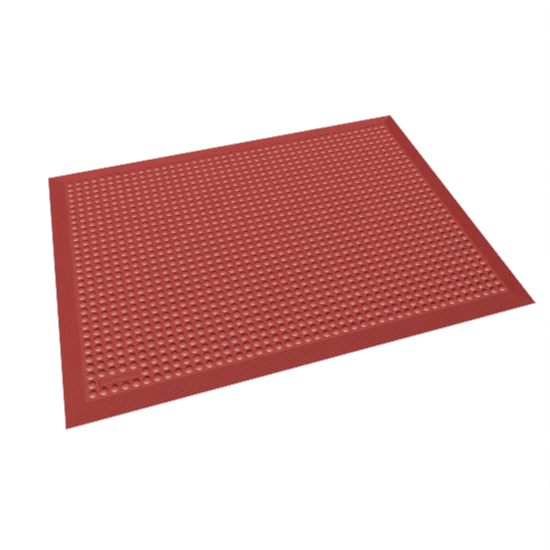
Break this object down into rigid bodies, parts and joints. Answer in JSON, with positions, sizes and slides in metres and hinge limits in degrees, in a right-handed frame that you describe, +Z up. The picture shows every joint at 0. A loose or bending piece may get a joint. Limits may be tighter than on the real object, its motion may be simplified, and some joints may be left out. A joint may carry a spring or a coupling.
{
  "type": "anti-fatigue mat",
  "caption": "Rectangular rubber floor mat with a square grid of raised domes, a foam core and ribbed edge ramps mitred at the corners.",
  "frame": {"origin": "on the floor under the middle of the mat's footprint", "axes": "+X along the long side towards the right, +Y across the mat away from the front edge, +Z up; the blank plate is near the -X -Y corner"},
  "size_m": [1.208, 0.908, 0.0165],
  "materials": {
    "red_rubber": "satin moulded rubber with a fine grain",
    "plate_rubber": "smooth satin rubber",
    "foam": "matt closed-cell foam rubber",
    "base_rubber": "matt rubber"
  },
  "bodies": {
    "root": {"wear_sheet": "red_rubber", "front_edge_ramp": "red_rubber", "back_edge_ramp": "red_rubber", "left_edge_ramp": "red_rubber", "right_edge_ramp": "red_rubber", "blank_plate": "plate_rubber", "foam_core": "foam", "base_sheet": "base_rubber"}
  },
  "joints": []
}
